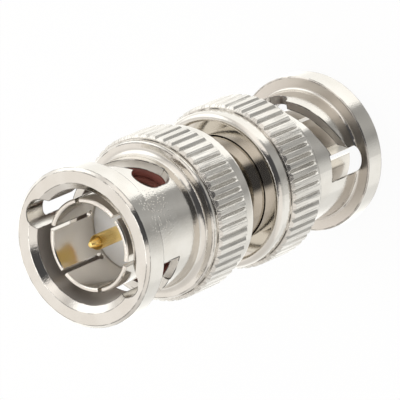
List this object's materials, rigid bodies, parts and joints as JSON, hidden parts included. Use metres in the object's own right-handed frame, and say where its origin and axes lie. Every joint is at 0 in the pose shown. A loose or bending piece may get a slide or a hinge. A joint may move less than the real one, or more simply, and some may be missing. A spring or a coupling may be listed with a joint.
{
  "type": "bnc double plug adapter",
  "caption": "Straight coaxial adapter with a bayonet plug at both ends: sprung, knurled coupling nuts turn and slide on a common tube round slotted contacts and a gold pin.",
  "frame": {"origin": "centre of the lower coupling nut's front face, which it stands on", "axes": "+Z along the common axis, towards the upper plug; +X and +Y across it"},
  "size_m": [0.0144, 0.0144, 0.0337],
  "materials": {
    "nickel": "polished nickel plate on brass",
    "gold": "gold plate on brass",
    "steel": "spring steel",
    "insulator": "smooth white fluoropolymer",
    "gasket": "red-brown silicone"
  },
  "bodies": {
    "core": {"body_tube": "nickel", "centre_pin": "gold", "upper_contact": "nickel", "lower_contact": "nickel", "upper_insulator": "insulator", "lower_insulator": "insulator", "upper_gasket": "gasket", "lower_gasket": "gasket", "upper_snap_ring": "steel", "lower_snap_ring": "steel", "upper_seat_washer": "steel", "lower_seat_washer": "steel", "upper_wave_spring": "steel", "lower_wave_spring": "steel"},
    "upper_thrust": {"upper_slide_washer": "steel"},
    "upper_coupling": {"upper_nut": "nickel", "upper_back_ring": "nickel"},
    "lower_thrust": {"lower_slide_washer": "steel"},
    "lower_coupling": {"lower_nut": "nickel", "lower_back_ring": "nickel"}
  },
  "joints": [
    {"name": "upper_pull", "type": "slide", "parent": "core", "child": "upper_thrust", "axis": [0, 0, 1], "range_m": [0, 0.0013], "stiffness_N_per_m": 8000, "springref_m": -0.0006, "deforming": ["upper_wave_spring"]},
    {"name": "upper_turn", "type": "hinge", "parent": "upper_thrust", "child": "upper_coupling", "pos_m": [0, 0, 0.0237], "axis": [0, 0, 1], "continuous": true},
    {"name": "lower_pull", "type": "slide", "parent": "core", "child": "lower_thrust", "axis": [0, 0, -1], "range_m": [0, 0.0013], "stiffness_N_per_m": 8000, "springref_m": -0.0006, "deforming": ["lower_wave_spring"]},
    {"name": "lower_turn", "type": "hinge", "parent": "lower_thrust", "child": "lower_coupling", "pos_m": [0, 0, 0.01], "axis": [0, 0, -1], "continuous": true}
  ]
}
